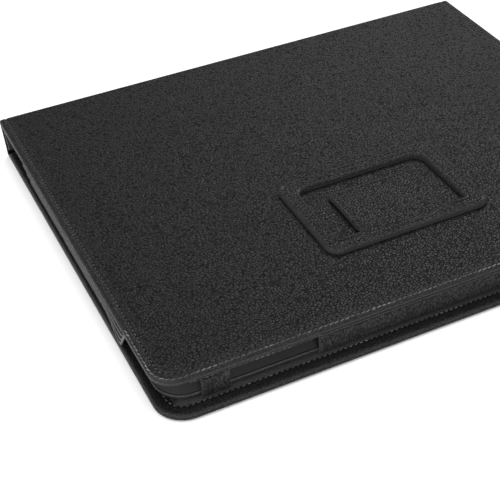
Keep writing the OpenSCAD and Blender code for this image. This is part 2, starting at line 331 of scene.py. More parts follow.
def makeCloth(name, look):
    material, nodes, links, shader = startMaterial(name)
    place = addNode(nodes, "ShaderNodeTexCoord").outputs["Object"]
    nap = addNode(nodes, "ShaderNodeTexNoise", Scale=1 / (look["nap"] * mm), Detail=6.0, Roughness=0.7)
    brushed = addNode(nodes, "ShaderNodeMapping", Scale=look["stretch"])
    links.new(place, brushed.inputs["Vector"])
    links.new(brushed.outputs[0], nap.inputs["Vector"])
    strokes = addNode(nodes, "ShaderNodeTexNoise", Scale=1 / (look["stroke"] * mm), Detail=3.0,
                      Distortion=0.6)
    links.new(place, strokes.inputs["Vector"])
    shade = addNode(nodes, "ShaderNodeMath", operation="MULTIPLY_ADD")
    links.new(strokes.outputs["Fac"], shade.inputs[0])
    shade.inputs[1].default_value = 0.5
    links.new(scaleSlot(nodes, links, nap.outputs["Fac"], 0.5), shade.inputs[2])
    colour = addRamp(nodes, [(0.3, look["dark"]), (0.75, look["light"])])
    links.new(shade.outputs[0], colour.inputs["Fac"])
    links.new(colour.outputs["Color"], shader.inputs["Base Color"])
    spread(nodes, links, nap.outputs["Fac"], *look["rough"], shader.inputs["Roughness"])
    shader.inputs["Specular IOR Level"].default_value = 0.2
    shader.inputs["Sheen Weight"].default_value = look["sheen"]
    shader.inputs["Sheen Roughness"].default_value = 0.4
    bump = addNode(nodes, "ShaderNodeBump", Strength=look["bump"], Distance=0.15 * mm)
    links.new(nap.outputs["Fac"], bump.inputs["Height"])
    links.new(bump.outputs["Normal"], shader.inputs["Normal"])
    return material


def makeThread(name, look):
    material, nodes, links, shader = startMaterial(name)
    place = addNode(nodes, "ShaderNodeTexCoord").outputs["Object"]
    turned = addNode(nodes, "ShaderNodeMapping", Rotation=look["turn"])
    links.new(place, turned.inputs["Vector"])
    ply = addNode(nodes, "ShaderNodeTexWave", Scale=1 / (look["ply"] * mm), Distortion=1.5, Detail=2.0)
    links.new(turned.outputs[0], ply.inputs["Vector"])
    fuzz = addNode(nodes, "ShaderNodeTexNoise", Scale=1 / (look["fuzz"] * mm), Detail=3.0)
    links.new(place, fuzz.inputs["Vector"])
    colour = addRamp(nodes, [(0.1, look["dark"]), (0.9, look["light"])])
    links.new(ply.outputs["Fac"], colour.inputs["Fac"])
    # some stretches of the row are darker than others, so the painted glints show only here and there
    patches = addNode(nodes, "ShaderNodeTexNoise", Scale=1 / (look["patch"] * mm), Detail=2.0)
    links.new(place, patches.inputs["Vector"])
    glintFade = addRamp(nodes, [(0.47, look["glintFade"]), (0.66, 1.0)])
    links.new(patches.outputs["Fac"], glintFade.inputs["Fac"])
    mixed = multiplied(nodes, links, colour.outputs["Color"], glintFade.outputs["Color"])
    links.new(mixed, shader.inputs["Base Color"])
    spread(nodes, links, fuzz.outputs["Fac"], *look["rough"], shader.inputs["Roughness"])
    shader.inputs["Sheen Weight"].default_value = 0.3
    bump = addNode(nodes, "ShaderNodeBump", Strength=0.5, Distance=0.08 * mm)
    links.new(ply.outputs["Fac"], bump.inputs["Height"])
    links.new(bump.outputs["Normal"], shader.inputs["Normal"])
    return material


def makeCore(name, look):
    # pressed board and foam, which stay inside
    material, nodes, links, shader = startMaterial(name)
    place = addNode(nodes, "ShaderNodeTexCoord").outputs["Object"]
    flecks = addNode(nodes, "ShaderNodeTexNoise", Scale=1 / (look["fleck"] * mm), Detail=5.0, Roughness=0.7)
    flat = addNode(nodes, "ShaderNodeMapping", Scale=look["stretch"])
    links.new(place, flat.inputs["Vector"])
    links.new(flat.outputs[0], flecks.inputs["Vector"])
    cells = addNode(nodes, "ShaderNodeTexVoronoi", Scale=1 / (look["cell"] * mm))
    links.new(place, cells.inputs["Vector"])
    colour = addRamp(nodes, [(0.3, look["dark"]), (0.7, look["light"])])
    links.new(flecks.outputs["Fac"], colour.inputs["Fac"])
    links.new(colour.outputs["Color"], shader.inputs["Base Color"])
    spread(nodes, links, flecks.outputs["Fac"], *look["rough"], shader.inputs["Roughness"])
    bump = addNode(nodes, "ShaderNodeBump", Strength=0.4, Distance=0.1 * mm)
    links.new(cells.outputs["Distance"], bump.inputs["Height"])
    links.new(bump.outputs["Normal"], shader.inputs["Normal"])
    return material


outerLook = {"cell": 1.28, "pore": 0.5, "bendSize": 3.2, "bend": 1.1, "stretch": (1.0, 1.2, 1.0),
             "crease": 0.23, "fold": 2.6, "patch": 16.0,
             # dark is the creases' colour, the grain's tone deepened by painted shade; light is the domes'
             "dark": (0.0018, 0.0018, 0.0018), "light": (0.0104, 0.0104, 0.0107),
             "mottle": 0.86, "mottleAt": (0.3, 0.7), "hollowShade": 0.82, "hollowAt": (0.36, 0.58),
             # where a surface turns sharply: a painted highlight along edges, partly edge wear, and painted
             # shade in grooves
             "wearAndHighlight": (0.06, 0.06, 0.061), "highlightAndWearStrength": 0.6, "edge": (0.508, 0.57),
             "groove": (0.45, 0.496), "sunk": 0.06,
             "roughHigh": 0.6, "roughLow": 0.45, "specular": 0.17, "dullSpecular": 0.05,
             # how strong each bump is, and their depths from wide to fine
             "relief": 0.3, "grain": 0.38, "dome": 0.18, "fine": 0.2, "domeSoft": 0.35,
             "depths": (1.2, 0.25, 0.3, 0.1)}
bandLook = dict(outerLook, cell=0.8, pore=0.3, fold=1.0, stretch=(1.0, 1.0, 0.3), grain=0.3, dome=0.2,
                relief=0.6, hollowShade=0.7, roughHigh=0.55, roughLow=0.4, highlightAndWearStrength=0.7,
                light=(0.02, 0.02, 0.0205), specular=0.3, dark=(0.009, 0.009, 0.0093))
# the left wall's fold ridges get strong painted highlights, a little of it rub wear
foldLook = dict(bandLook, edge=(0.51, 0.56), highlightAndWearStrength=1.0, wearAndHighlight=(0.17, 0.17, 0.171), groove=(0.44, 0.496),
                sunk=0.1, light=(0.017, 0.017, 0.0173), hollowShade=0.85, grain=0.15, relief=0.3)
liningLook = {"nap": 0.5, "stretch": (1.0, 0.35, 1.0), "stroke": 22.0, "dark": 0.014, "light": 0.042,
              "rough": (0.95, 0.8), "sheen": 0.6, "bump": 0.6}
# the pale thread's light ply stripes are painted glints on black thread; the dark thread is the same thread
# without them
glintThreadLook = {"ply": 0.4, "turn": (0.4, 0.3, math.radians(38)), "fuzz": 0.25, "rough": (0.3, 0.6),
              "dark": 0.02, "light": 0.2, "patch": 5.0, "glintFade": 0.1}
darkThreadLook = dict(glintThreadLook, dark=0.004, light=0.02, patch=9.0, glintFade=0.4)
boardLook = {"fleck": 1.2, "cell": 0.8, "stretch": (1.0, 0.4, 3.0), "rough": (0.75, 0.95),
             "dark": (0.012, 0.011, 0.01), "light": (0.035, 0.033, 0.03)}
foamLook = {"fleck": 0.6, "cell": 0.35, "stretch": (1.0, 1.0, 1.0), "rough": (0.75, 0.95),
            "dark": 0.015, "light": 0.04}
outerLeather = makeLeather("outerLeather", outerLook)
bandLeather = makeLeather("bandLeather", bandLook)
foldLeather = makeLeather("foldLeather", foldLook)
microfibre = makeCloth("microfibre", liningLook)
glintThread = makeThread("glintThread", glintThreadLook)
darkThread = makeThread("darkThread", darkThreadLook)
pressedBoard = makeCore("pressedBoard", boardLook)
softFoam = makeCore("softFoam", foamLook)
# by the last word of a CAD node's name; the rest is outer leather
nodeFinish = {"pad": softFoam, "board": pressedBoard, "lining": microfibre}
print("materials made")

arcSteps = 8  # points on a seam's rounded corner


def roundLoop(x0, y0, x1, y1, radii, z, closed=True):
    # points along a rounded rectangle, from the near left corner's start round to the far left
    points = []
    corners = ((x0, y0, 180), (x1, y0, 270), (x1, y1, 0), (x0, y1, 90))
    for (x, y, start), radius in zip(corners, radii):
        cx = x + radius if x == x0 else x - radius
        cy = y + radius if y == y0 else y - radius
        steps = arcSteps if radius else 0
        for step in range(steps + 1):
            angle = math.radians(start + 90 * step / max(1, steps))
            points.append(at(cx + radius * math.cos(angle), cy + radius * math.sin(angle), z))
    if closed:
        points.append(points[0].copy())
    return points


def sewRow(name, path, body, look, facing=up, finish=glintThread):
    # raised thread between needle holes, all along a path
    bm = bmesh.new()
    bmesh.ops.create_uvsphere(bm, u_segments=8, v_segments=5, radius=1)
    single = bpy.data.meshes.new("stitch")
    bm.to_mesh(single)
    bm.clear()
    lengths = [(b - a).length for a, b in zip(path, path[1:])]
    total = sum(lengths)
    count = max(1, round(total / (look["pitch"] * mm)))
    for step in range(count):
        goal = total * (step + 0.5) / count
        spot = 0
        while spot < len(lengths) - 1 and goal > lengths[spot]:
            goal -= lengths[spot]
            spot += 1
        along = (path[spot + 1] - path[spot]).normalized()
        place = path[spot] + along * goal
        side = facing.cross(along).normalized()
        above = along.cross(side)
        wobble = noise.noise(place * look["unevenness"]) * look["wobble"]
        along = (along + side * (look["slant"] + wobble)).normalized()
        side = above.cross(along)
        half = look["length"] * mm / 2 * (1 + 0.5 * wobble)
        turn = Matrix((along * half, side * look["width"] * mm / 2, above * look["height"] * mm))
        copy = single.copy()
        copy.transform(Matrix.Translation(place) @ turn.transposed().to_4x4())
        bm.from_mesh(copy)
        bpy.data.meshes.remove(copy)
    bpy.data.meshes.remove(single)
    piece = finished(name, bm, finish)
    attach(piece, body)


def grooveAt(look):
    # how far in from a piece's edge the middle of its stitched groove is
    return sum(step[0] for step in look["edge"] + look["hem"][:3])


seam = {"pitch": 2.3, "length": 1.5, "width": 0.42, "height": 0.2, "slant": 0.14, "wobble": 0.35,
        "unevenness": 900}
fineSeam = dict(seam, width=0.36, height=0.12)

# the back panel's leather goes down its edges and over the fold
backSet = {"cornerR": 10.0, "overrun": 12.0, "wall": 0.45, "cut": 12.0, "thick": 0.8,
           # steps inwards and up, over the rounded edge and then over the stitched groove
           "edge": [(0.1, 0.4), (0.22, 0.28), (0.33, 0.17), (0.35, 0.08), (0.4, 0.02)],
           "hem": [(1.45, 0.0), (0.28, -0.2), (0.24, -0.05), (0.24, 0.05), (0.28, 0.2), (0.8, 0.03)],
           "swell": 0.1, "swellSize": 34.0, "swellRim": 14.0, "flatTop": 0.3,
           # along the fold: how far down it, how far out; the last row is at its middle
           "web": [(1.5, 1.22), (3.2, 0.98), (5.2, 0.84), (None, 0.8)], "sweep": 110,
           "reach": (0, 0.8, -0.6), "bendFrom": 0.5, "bendTo": 1.5}
crease, lowCrease = joints["spine_fold"], joints["cover_fold"]
spineLine = (lowCrease - crease).normalized()
spineOut = Vector((0, -spineLine.z, spineLine.y))
spineMiddle = (lowCrease - crease).length / 2 / mm


def foldOver(bm, edges, hinge, angle, line, rows):
    # leather round a crease, then along the spine to its middle
    made = bmesh.ops.spin(bm, geom=edges, cent=hinge, axis=(1, 0, 0), dvec=(0, 0, 0),
                          angle=math.radians(angle), steps=10, use_merge=False,
                          use_duplicate=False)["geom_last"]
    edges = [part for part in made if isinstance(part, bmesh.types.BMEdge)]
    first = [vert.co.copy() for vert in {vert for edge in edges for vert in edge.verts}]
    before = 0.0
    high = max((co - Vector((co.x, hinge.y, hinge.z))).dot(spineOut) for co in first)
    for distance, over in rows:
        distance = (spineMiddle if distance is None else distance) * mm
        made = bmesh.ops.extrude_edge_only(bm, edges=edges)["geom"]
        edges = [part for part in made if isinstance(part, bmesh.types.BMEdge)]
        for vert in [part for part in made if isinstance(part, bmesh.types.BMVert)]:
            out = (vert.co - Vector((vert.co.x, hinge.y, hinge.z))).dot(spineOut)
            vert.co += line * (distance - before) + spineOut * (out * (over * mm / high - 1))
        before, high = distance, over * mm


def makeBackLeather():
    look = backSet
    x0, y0, z0, x1, y1, z1 = span("back_skin")
    hingeY, hingeZ = back(crease)[1:]
    bm = bmesh.new()
    faces = outline(bm, x0, y0, x1, y1 + look["overrun"], z0, (look["cornerR"], look["cornerR"], 0, 0))
    faces = pushUp(bm, faces, hingeZ - z0)
    faces = pushUp(bm, faces, look["wall"])
    stepIn(bm, faces, look["edge"])
    stepIn(bm, faces, look["hem"])
    low = [face for face in bm.faces if face.calc_center_median().z < z0 * mm + onPlane]
    bmesh.ops.delete(bm, geom=low, context="FACES_ONLY")
    cutOff(bm, crease, (0, 1, 0))
    cutAcross(bm, 1, y0, y1, look["cut"])
    cutAcross(bm, 0, x0, x1, look["cut"])
    cutAlong(bm, at(0, y1), (0, 1, 0))
    # past the panel only the part above the crease goes on over the fold
    under = [face for face in bm.faces
             if face.calc_center_median().y > at(0, y1).y and face.calc_center_median().z < crease.z]
    bmesh.ops.delete(bm, geom=under, context="FACES")
    top = (z1 - look["flatTop"]) * mm
    for vert in bm.verts:
        if vert.co.z > top:
            x, y, z = back(vert.co)
            inside = smooth(0, look["swellRim"], min(x - x0, x1 - x, y - y0, hingeY - y))
            vert.co.z += inside * look["swell"] * wave(x, y, 0, look["swellSize"], 1) * mm
    edges = [edge for edge in bm.edges if edge.is_boundary
             and all(abs(vert.co.y - crease.y) < onPlane and vert.co.z > crease.z - onPlane
                     for vert in edge.verts)]
    foldOver(bm, edges, crease, -look["sweep"], spineLine, look["web"])
    piece = finished("backLeather", bm, outerLeather)
    addSolidify(piece, look["thick"], even=False)
    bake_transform(piece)
    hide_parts("back_skin", "spine_skin")


makeBackLeather()
print("back panel made")

# the cover's leather, with its hem turned in round the lining
coverSet = {"cornerR": 12.5, "overrun": 12.0, "wall": 0.5, "rim": 2.0,
            "edge": [(0.12, 0.42), (0.26, 0.3), (0.36, 0.2), (0.42, 0.1), (0.4, 0.03)],
            "hem": [(2.85, 0.0), (0.26, -0.18), (0.22, -0.05), (0.22, 0.05), (0.26, 0.18)],
            "drop": 0.5, "liningR": 3.0, "thick": 0.5,
            "web": [(1.5, 1.3), (3.2, 1.0), (5.2, 0.85), (None, 0.8)], "sweep": 70,
            "reach": (0, -0.8, -0.6), "bendFrom": 1.2, "bendTo": 0.6}


def makeCoverLeather():
    look = coverSet
    x0, y0, z0, x1, y1, z1 = span("cover_skin")
    recess = span("cover_lining")
    middle = (z0 + z1) / 2
    radii = (look["cornerR"], look["cornerR"], 0, 0)
    bm = bmesh.new()
    upper = pushUp(bm, outline(bm, x0, y0, x1, y1, middle, radii), look["wall"])
    lower = pushUp(bm, outline(bm, x0, y0, x1, y1 + look["overrun"], middle, radii), -look["wall"])
    stepIn(bm, lower, look["edge"])
    stepIn(bm, lower, [(look["rim"], 0.0)])
    stepIn(bm, upper, look["edge"])
    stepIn(bm, upper, look["hem"])
    inner = [face for face in bm.faces
             if abs(face.calc_center_median().z - middle * mm) < onPlane and abs(face.normal.z) > 0.9]
    # the hem lies flat as far as the lining, then drops to the board
    rim = [edge for face in upper for edge in face.edges]
    bmesh.ops.delete(bm, geom=inner + upper, context="FACES_ONLY")
    hole = outline(bm, *recess[:2], *recess[3:5], z1, (look["liningR"],) * 4, 6)
    edges = [edge for face in hole for edge in face.edges]
    bmesh.ops.delete(bm, geom=hole, context="FACES_ONLY")
    bmesh.ops.bridge_loops(bm, edges=rim + edges)
    made = bmesh.ops.extrude_edge_only(bm, edges=edges)["geom"]
    bmesh.ops.translate(bm, vec=(0, 0, -look["drop"] * mm),
                        verts=[part for part in made if isinstance(part, bmesh.types.BMVert)])
    cutOff(bm, lowCrease, (0, 1, 0))
    cutAlong(bm, at(0, y1), (0, 1, 0))
    bmesh.ops.remove_doubles(bm, verts=bm.verts[:], dist=mergeGap)
    edges = [edge for edge in bm.edges if edge.is_boundary
             and all(abs(vert.co.y - lowCrease.y) < onPlane for vert in edge.verts)]
    foldOver(bm, edges, lowCrease, look["sweep"], -spineLine, look["web"])
    piece = finished("coverLeather", bm, outerLeather)
    addSolidify(piece, look["thick"], even=False)
    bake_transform(piece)
    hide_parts("cover_skin", "spine_skin")


makeCoverLeather()
print("cover made")

# linings: shares of the height for the side and its softly rounded edge, swelling by at most "rise"
liningSet = {"side": 0.6, "round": [(0.12, 0.25), (0.25, 0.15), (0.6, 0.0)], "cut": 10.0,
             "flat": 0.9, "rim": 8, "swellSize": 30,
             "sheets": [("cover_lining", "coverLining", (3, 3, 3, 3), 0.12, "cover", "cover_board"),
                        ("back_lining", "backLining", (9, 9, 0, 0), -0.08, "shell", "back_board")]}


def makeLining(node, name, radii, rise, body, restsOn):
    look = liningSet
    x0, y0, z0, x1, y1, z1 = span(node)
    bm = bmesh.new()
    height = z1 - z0
    if rise < 0:
        faces = pushUp(bm, outline(bm, x0, y0, x1, y1, z1, radii, 5), -height * look["side"])
    else:
        faces = pushUp(bm, outline(bm, x0, y0, x1, y1, z0, radii, 5), height * look["side"])
    stepIn(bm, faces, [(inwards, height * share) for inwards, share in look["round"]])
    cutAcross(bm, 1, y0, y1, look["cut"])
    cutAcross(bm, 0, x0, x1, look["cut"])
    for vert in bm.verts:
        x, y, z = back(vert.co)
        fromBack = z - z0 if rise > 0 else z1 - z
        if fromBack > height * look["flat"]:
            inside = smooth(0, look["rim"], min(x - x0, x1 - x, y - y0, y1 - y))
            vert.co.z += inside * rise * (0.5 + 0.5 * wave(x, y, 0, look["swellSize"], 4)) * mm
    piece = finished(name, bm, microfibre)
    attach(piece, body)
    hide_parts(node)


for row in liningSet["sheets"]:
    makeLining(*row)

# frame round the screen
bezelSet = {"outerR": 12.0, "windowR": 3.0, "border": 17.0, "wall": 0.5, "thick": 0.8,
            "edge": [(0.15, 0.42), (0.28, 0.26), (0.36, 0.14), (0.5, 0.06)],
            "hem": [(1.5, 0.0), (0.16, -0.1), (0.16, -0.04), (0.16, 0.04), (0.16, 0.1), (0.8, 0.0)],
            "seamUp": 0.03}


def makeBezel():
    look = bezelSet
    x0, y0, z0, x1, y1, z1 = span("bezel_face")
    border = look["border"]
    outer = (x0, y0, x1, y1, (look["outerR"],) * 4)
    inner = (x0 + border, y0 + border, x1 - border, y1 - border, (look["windowR"],) * 4)
    bm = bmesh.new()
    faces = pushUp(bm, ringFaces(bm, outer, inner, z1), -look["wall"])
    # down to the face that looks at the cover
    drop = (z1 - z0 - look["wall"]) / sum(step[1] for step in look["edge"])
    stepIn(bm, faces, [(inwards, rise * drop) for inwards, rise in look["edge"]])
    stepIn(bm, faces, look["hem"])
    top = [face for face in bm.faces if abs(face.calc_center_median().z - z1 * mm) < onPlane
           and abs(face.normal.z) > 0.9]
    bmesh.ops.delete(bm, geom=top, context="FACES")
    piece = finished("bezelFrame", bm, bandLeather)
    addSolidify(piece, look["thick"])
    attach(piece, "shell")
    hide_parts("bezel_face")
    inset = grooveAt(look)
    for name, box, grow in (("bezelOuterSeam", outer, -inset), ("bezelWindowSeam", inner, inset)):
        left, near, right, far, radii = box
        radius = max(1.0, radii[0] + grow)
        path = roundLoop(left - grow, near - grow, right + grow, far + grow, (radius,) * 4,
                         z0 + look["seamUp"])
        sewRow(name, path, "shell", seam, -up)


makeBezel()
print("sleeve frame made")


def sheetGrid(name, columns, rows, shape, material):
    # flat grid whose points a function then moves; u runs along, v runs down
    bm = bmesh.new()
    bmesh.ops.create_grid(bm, x_segments=columns, y_segments=rows, size=0.5)
    for vert in bm.verts:
        vert.co = shape(vert.co.x + 0.5, 0.5 - vert.co.y)
    return finished(name, bm, material, merge=False)


def mixRow(rows, v):
    # smooth run through rows of numbers, each (place, number, ...)
    for low, high in zip(rows, rows[1:]):
        if v <= high[0]:
            share = smooth(low[0], high[0], v)
            return [a + (b - a) * share for a, b in zip(low[1:], high[1:])]
    return list(rows[-1][1:])


nearSet = {"columns": 320, "rows": 46, "thick": 1.2, "slot": 37.5,
           # share of the height from the top, how far the face stands out past the panel's edge
           "face": [(0.0, -1.7), (0.045, -1.6), (0.065, -0.1), (0.09, 0.3), (0.13, 0.25), (0.17, -0.12),
                    (0.3, 0.0), (0.6, 0.16), (0.82, 0.16), (0.9, 0.0), (0.96, -0.45), (1.0, -1.1)],
           "pleat": 0.34, "pleatSize": 2.3, "pleatPatch": 17, "slant": 0.35, "wave": 0.14, "waveSize": 26,
           "pleatTop": (0.08, 0.3), "pleatFoot": (0.85, 1.0), "endRound": 1.2, "endSink": 0.6}
# where the wall ends and the slot beside the strap begins
slotEnd = back(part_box("corner_strap")[1])[0] + nearSet["slot"]


def makeNearWall():
    look = nearSet
    x0, y0, z0, x1, y1, z1 = span("near_wall")

    def shape(u, v):
        x = slotEnd + (x1 - slotEnd) * u
        z = z1 + (z0 - z1) * v
        out = mixRow(look["face"], v)[0]
        middle = smooth(*look["pleatTop"], v) * (1 - smooth(*look["pleatFoot"], v))
        pleats = wave(x + z * look["slant"], 0, z * 0.2, look["pleatSize"], 2)
        pleats = pleats * abs(wave(x, 0, z * 0.1, look["pleatPatch"], 5)) * 2
        end = smooth(0, look["endRound"], min(x - slotEnd, x1 - x))
        out = out * (0.3 + 0.7 * end) - look["endSink"] * (1 - end)
        out += middle * (look["pleat"] * pleats + look["wave"] * wave(x, 0, z * 0.4, look["waveSize"], 3))
        return at(x, y0 - out, z)

    piece = sheetGrid("nearWall", look["columns"], look["rows"], shape, bandLeather)
    addSolidify(piece, look["thick"])
    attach(piece, "shell")
    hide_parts("near_wall")


makeNearWall()
weltSet = {"height": 1.6, "gap": 0.5, "round": [(0.12, 0.2), (0.2, 0.12), (0.2, 0.03)], "wall": 1.1,
           "overlap": 0.8, "cut": 1.5, "wave": 0.08, "waveSize": 6, "threadOut": 0.12}


def makeWelt():
    # leather edging that runs on above the slot and the strap
    look = weltSet
    x0, y0, z0, x1, y1, z1 = span("near_wall")
    low, high = z1 - look["height"], z1 - look["gap"]
    bm = bmesh.new()
    faces = outline(bm, x0, y0, slotEnd + look["overlap"], y1, 0, (0, 0, 0, 0))
    # stood up on its edge
    bmesh.ops.transform(bm, verts=bm.verts[:], space=Matrix.Identity(4),
                        matrix=Matrix.Translation(at(0, y1, low))
                        @ Matrix.Rotation(math.radians(90), 4, "X")
                        @ Matrix.Translation(-at(0, y0, 0)))
    for vert in bm.verts:
        vert.co.z = (low if back(vert.co)[2] < low + 0.1 else high) * mm
    made = bmesh.ops.extrude_face_region(bm, geom=faces)["geom"]
    bmesh.ops.translate(bm, vec=(0, -look["wall"] * mm, 0),
                        verts=[part for part in made if isinstance(part, bmesh.types.BMVert)])
    front = [part for part in made if isinstance(part, bmesh.types.BMFace)]
    bmesh.ops.recalc_face_normals(bm, faces=bm.faces[:])
    stepIn(bm, front, look["round"])
    cutAcross(bm, 0, x0, slotEnd, look["cut"])
    for vert in bm.verts:
        x, y, z = back(vert.co)
        vert.co.y -= look["wave"] * wave(x, 0, z, look["waveSize"], 8) * mm
    piece = finished("nearWelt", bm, bandLeather)
    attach(piece, "shell")
    face = y0 - look["threadOut"]
    path = [at(x0 + 1 + step, face, (low + high) / 2) for step in range(int(slotEnd - x0 - 2))]
    sewRow("weltSeam", path, "shell", seam, Vector((0, -1, 0)))


makeWelt()

leftSet = {"columns": 170, "rows": 56, "thick": 0.8, "slant": 7.0, "lean": 1.7,
           # three raised folds run along it
           "face": [(0.0, -0.5), (0.04, -0.2), (0.1, -0.3), (0.15, 0.5), (0.18, 0.5), (0.22, -0.35),
                    (0.4, -0.3), (0.47, 0.45), (0.5, 0.45), (0.55, -0.35), (0.72, -0.3), (0.8, 0.45),
                    (0.83, 0.45), (0.88, -0.3), (1.0, -0.5)],
           "flare": 0.8, "flareFrom": 62.0, "wrinkle": 0.14, "wrinkleSize": 7, "wrinklePatch": 21,
           "wrinkleTop": (0.05, 0.3), "endRound": 1.5, "endSink": 0.25}


def makeLeftWall():
    look = leftSet
    x0, y0, z0, x1, y1, z1 = span("left_wall")

    def shape(u, v):
        z = z1 + (z0 - z1) * v
        near = y0 + look["slant"] * v
        far = y1 - look["slant"] * v
        y = near + (far - near) * u
        out = mixRow(look["face"], v)[0]
        # its foot leans in under the panel, but flares out towards the open corner
        foot = 1 - smooth(y0, look["flareFrom"], y)
        lean = v * (look["lean"] * (1 - foot) - look["flare"] * foot)
        end = smooth(0, look["endRound"], min(y - near, far - y))
        ripple = smooth(*look["wrinkleTop"], v) * look["wrinkle"]
        ripple *= wave(z * 0.5, y, 0, look["wrinkleSize"], 6)
        ripple *= abs(wave(0, y, 0, look["wrinklePatch"], 7)) * 2
        return at(x0 + lean - out * (0.4 + 0.6 * end) + ripple * end + look["endSink"] * (1 - end), y, z)

    piece = sheetGrid("leftWall", look["columns"], look["rows"], shape, foldLeather)
    addSolidify(piece, look["thick"], 1.0)
    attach(piece, "shell")
    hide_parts("left_wall")


makeLeftWall()

farSet = {"columns": 160, "rows": 14, "thick": 1.1, "sunk": 0.15, "wave": 0.1, "waveSize": 12,
          "waveTop": (0.05, 0.3), "face": [(0.0, -0.4), (0.06, 0.0), (0.5, 0.1), (0.92, 0.0), (1.0, -0.4)]}


def makeFarWall():
    look = farSet
    x0, y0, z0, x1, y1, z1 = span("far_wall")

    def shape(u, v):
        x = x0 + (x1 - x0) * u
        z = z1 + (z0 - z1) * v
        out = mixRow(look["face"], v)[0] - look["sunk"]
        ripple = look["wave"] * wave(x, 0, z * 0.4, look["waveSize"], 9) * smooth(*look["waveTop"], v)
        return at(x, y1 + out + ripple, z)

    piece = sheetGrid("farWall", look["columns"], look["rows"], shape, bandLeather)
    addSolidify(piece, look["thick"], 1.0)
    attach(piece, "shell")
    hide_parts("far_wall")


makeFarWall()

strapSet = {"columns": 36, "rows": 40, "thick": 0.9, "turnedEnds": 3,
            # share of the way, how far in from the outer face, how far down from the top
            "upper": [(0.0, 2.3, 0.4), (0.08, 2.2, 1.15), (0.2, 0.55, 2.1), (0.32, 0.12, 3.3)],
            # share of the way, how far in from the outer face, how far up from the foot
            "lower": [(0.72, 0.08, 2.6), (0.86, 0.3, 1.0), (0.94, 0.9, 0.15), (1.0, 1.7, 0.05)],
            # across it: middle, half width, depth, and where each starts from the top
            "creases": [(0.36, 0.035, 0.4, (0.2, 0.4)), (0.45, 0.03, -0.12, (0.25, 0.5))],
            "sideRound": 0.07, "sideSink": 0.35, "wave": 0.12, "waveSize": 4,
            "tack": (0.8, 0.97), "tackRows": 3, "tackDown": 1.75, "tackStep": 0.5, "tackIn": 0.62,
            "tackLean": 0.22, "tackFacing": (0, -1, 0.3)}


def makeStrap():
    look = strapSet
    x0, y0, z0, x1, y1, z1 = span("corner_strap")
    # from behind the welt, over the opening and down to the frame
    path = [(share, y0 + inwards, z1 - down) for share, inwards, down in look["upper"]]
    path += [(0.5, y0, (z0 + z1) / 2)]
    path += [(share, y0 + inwards, z0 + rise) for share, inwards, rise in look["lower"]]

    def shape(u, v):
        x = x0 + (x1 - x0) * u
        y, z = mixRow(path, v)
        across = 0
        for middle, half, depth, start in look["creases"]:
            across += math.exp(-((u - middle) / half) ** 2) * depth * smooth(*start, v)
        side = smooth(0, look["sideRound"], min(u, 1 - u))
        loose = smooth(0.1, 0.3, v) * (1 - smooth(0.8, 1.0, v))
        across += look["sideSink"] * (1 - side)
        y += loose * (across - look["wave"] * wave(x, 0, z, look["waveSize"], 11))
        return at(x, y, z)

    piece = sheetGrid("cornerStrap", look["columns"], look["rows"], shape, bandLeather)
    addSolidify(piece, look["thick"])
    addSubsurf(piece, 1)
    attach(piece, "shell")
    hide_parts("corner_strap")
    left, right = (x0 + (x1 - x0) * share for share in look["tack"])
    facing = Vector(look["tackFacing"]).normalized()
    for index in range(look["tackRows"]):
        z = z1 - look["tackDown"] - look["tackStep"] * index
        y = y0 + look["tackIn"] - look["tackLean"] * index
        path = [at(left + step * (right - left) / 4, y, z) for step in range(5)]
        sewRow(f"strapTack{index + 1}", path, "shell", dict(seam, pitch=0.75, length=0.8, slant=0.5),
               facing)


makeStrap()
print("walls made")

# stand catch on the back; its bars are left, near, right and far
catchSet = {"outerR": 6.0, "innerR": 5.0, "nearR": 0.8, "bars": (7.5, 7.9, 8.9, 7.8), "wall": 1.15,
            "edge": [(0.1, 0.42), (0.24, 0.34), (0.36, 0.23), (0.42, 0.11), (0.4, 0.04)],
            "hem": [(0.3, 0.0), (0.28, -0.22), (0.24, -0.06), (0.24, 0.06), (0.28, 0.22), (0.3, 0.01)],
            "thick": 0.8, "seamDown": 0.28}


def makeCatch():
    look = catchSet
    x0, y0, z0, x1, y1, z1 = span("catch_frame")
    left, near, right, far = look["bars"]
    outer = (x0, y0, x1, y1, (look["outerR"],) * 4)
    inner = (x0 + left, y0 + near, x1 - right, y1 - far,
             (look["nearR"], look["nearR"], look["innerR"], look["innerR"]))
    bm = bmesh.new()
    faces = pushUp(bm, ringFaces(bm, outer, inner, z0), look["wall"])
    stepIn(bm, faces, look["edge"])
    stepIn(bm, faces, look["hem"])
    under = [face for face in bm.faces if face.calc_center_median().z < z0 * mm + onPlane]
    bmesh.ops.delete(bm, geom=under, context="FACES")
    piece = finished("catchFrame", bm, outerLeather)
    addSolidify(piece, look["thick"])
    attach(piece, "shell")
    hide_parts("catch_frame")
    inset = grooveAt(look)
    top = z1 - look["seamDown"]
    radius = look["outerR"] - inset
    path = roundLoop(x0 + inset, y0 + inset, x1 - inset, y1 - inset, (radius,) * 4, top)
    sewRow("catchOuterSeam", path, "shell", fineSeam, finish=darkThread)
    # the inner row stops at the near bar
    left, near, right, far = inner[0] - inset, inner[1], inner[2] + inset, inner[3] + inset
    radius = look["innerR"] + inset
    path = roundLoop(left, near, right, far, (0, 0, radius, radius), top, closed=False)
    sewRow("catchInnerSeam", path[1:] + [at(left, near, top)], "shell", fineSeam, finish=darkThread)
    return inner[1]


tongueRoot = makeCatch()

